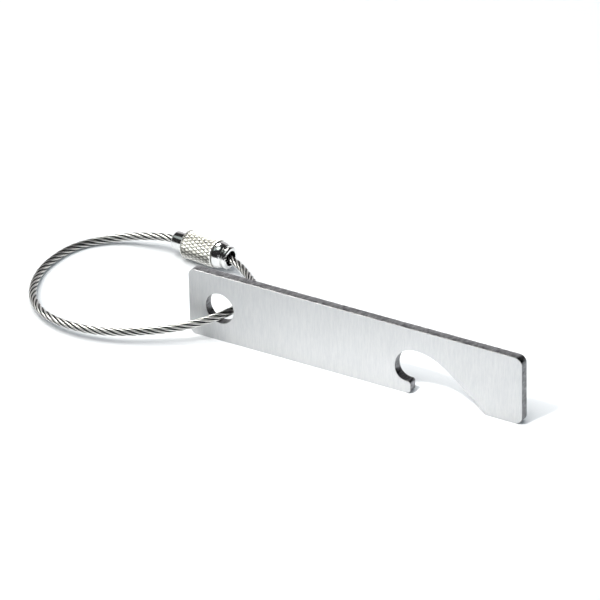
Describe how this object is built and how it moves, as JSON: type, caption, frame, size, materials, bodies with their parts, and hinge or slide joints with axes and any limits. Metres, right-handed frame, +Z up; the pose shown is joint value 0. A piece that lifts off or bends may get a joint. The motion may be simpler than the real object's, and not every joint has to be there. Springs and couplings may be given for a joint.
{
  "type": "keychain bottle opener",
  "caption": "Flat stainless steel cap opener bar with a hook notch, on a wire rope key loop closed by a knurled screw clasp.",
  "frame": {"origin": "middle of the bar's lower long edge, where it stands on the table", "axes": "+X along the bar from the hole end to the notch end, +Y across its thickness towards the clasp, +Z up across its width"},
  "size_m": [0.1436, 0.0528, 0.018],
  "materials": {
    "brushed_bar": "brushed across the bar's length, with darker cut edges",
    "rope_steel": "bright drawn wire, stranded",
    "polished_steel": "polished",
    "knurled_nickel": "diamond knurl, with a polished neck and lip",
    "ferrule_metal": "plain turned and crimped"
  },
  "bodies": {
    "opener": {"opener_bar": "brushed_bar"},
    "key_loop": {"wire_rope": "rope_steel", "end_ferrule": "ferrule_metal"},
    "screw_sleeve": {"clasp_sleeve": "knurled_nickel"},
    "stud": {"threaded_stud": "polished_steel"}
  },
  "joints": [
    {"name": "loop_swing", "type": "hinge", "parent": "opener", "child": "key_loop", "pos_m": [-0.0379, 0, 0.009], "axis": [0, 1, 0], "range_deg": [-158, 170]},
    {"name": "sleeve_spin", "type": "hinge", "parent": "key_loop", "child": "screw_sleeve", "pos_m": [-0.06784, 0.03161, 0.0037], "axis": [0.9949, -0.1011, 0], "range_deg": [0, 2160]},
    {"name": "clasp_open", "type": "slide", "parent": "key_loop", "child": "stud", "axis": [-0.9949, 0.1011, 0], "range_m": [0, 0.0048], "deforming": ["wire_rope"]}
  ],
  "couplings": [
    {"joint": "sleeve_spin", "follows": "clasp_open", "rad_per_m": 7854}
  ]
}
